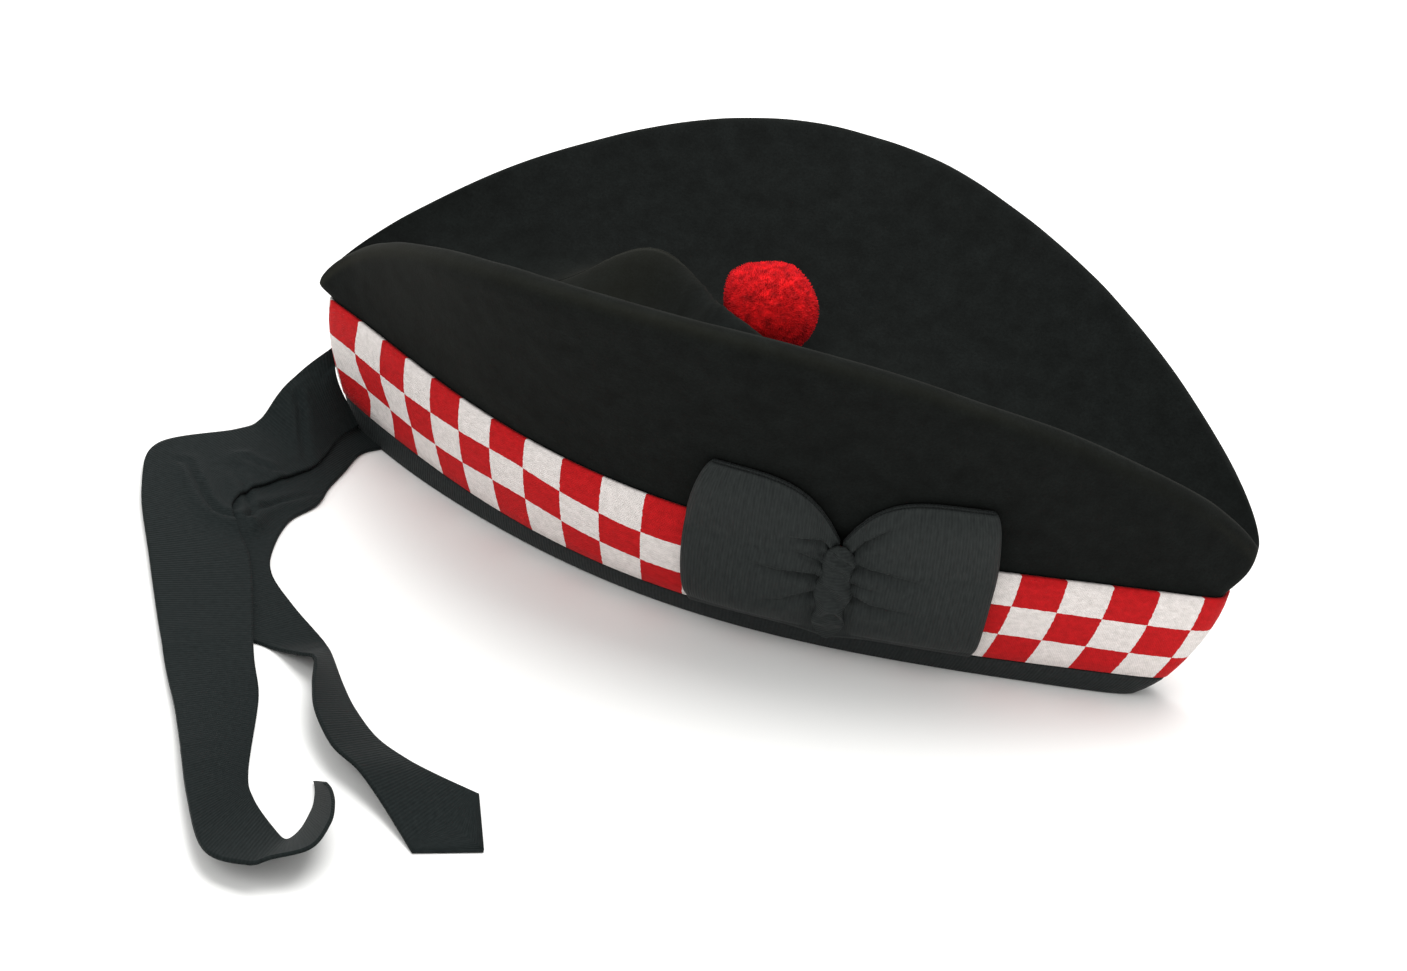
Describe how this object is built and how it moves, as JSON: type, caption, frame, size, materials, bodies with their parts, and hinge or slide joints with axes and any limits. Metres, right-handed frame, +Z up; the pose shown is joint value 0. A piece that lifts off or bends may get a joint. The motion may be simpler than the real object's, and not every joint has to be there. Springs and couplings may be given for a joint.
{
  "type": "glengarry",
  "caption": "Boat-shaped black wool felt cap with a folded-in crown, red toorie, red and white diced band, ribbon binding, side bow and two ribbon tails at the back.",
  "frame": {"origin": "middle of the head opening, in the plane of the rim that the cap stands on", "axes": "+X to the front of the cap, -Y to the side with the bow, +Z up"},
  "size_m": [0.2925, 0.3023, 0.1013],
  "materials": {
    "black_felt": "napped wool felt",
    "red_white_dicing": "woven wool, red and white checks",
    "black_binding": "ribbed ribbon",
    "red_wool": "wool yarn",
    "bow_ribbon": "ribbed ribbon",
    "tail_ribbon": "ribbed ribbon"
  },
  "bodies": {
    "root": {"felt_cap": "black_felt", "diced_band": "red_white_dicing", "rim_binding": "black_binding", "toorie": "red_wool", "bow_rear_loop": "bow_ribbon", "bow_front_loop": "bow_ribbon", "bow_knot": "bow_ribbon", "long_tail": "tail_ribbon", "short_tail": "tail_ribbon"}
  },
  "joints": []
}
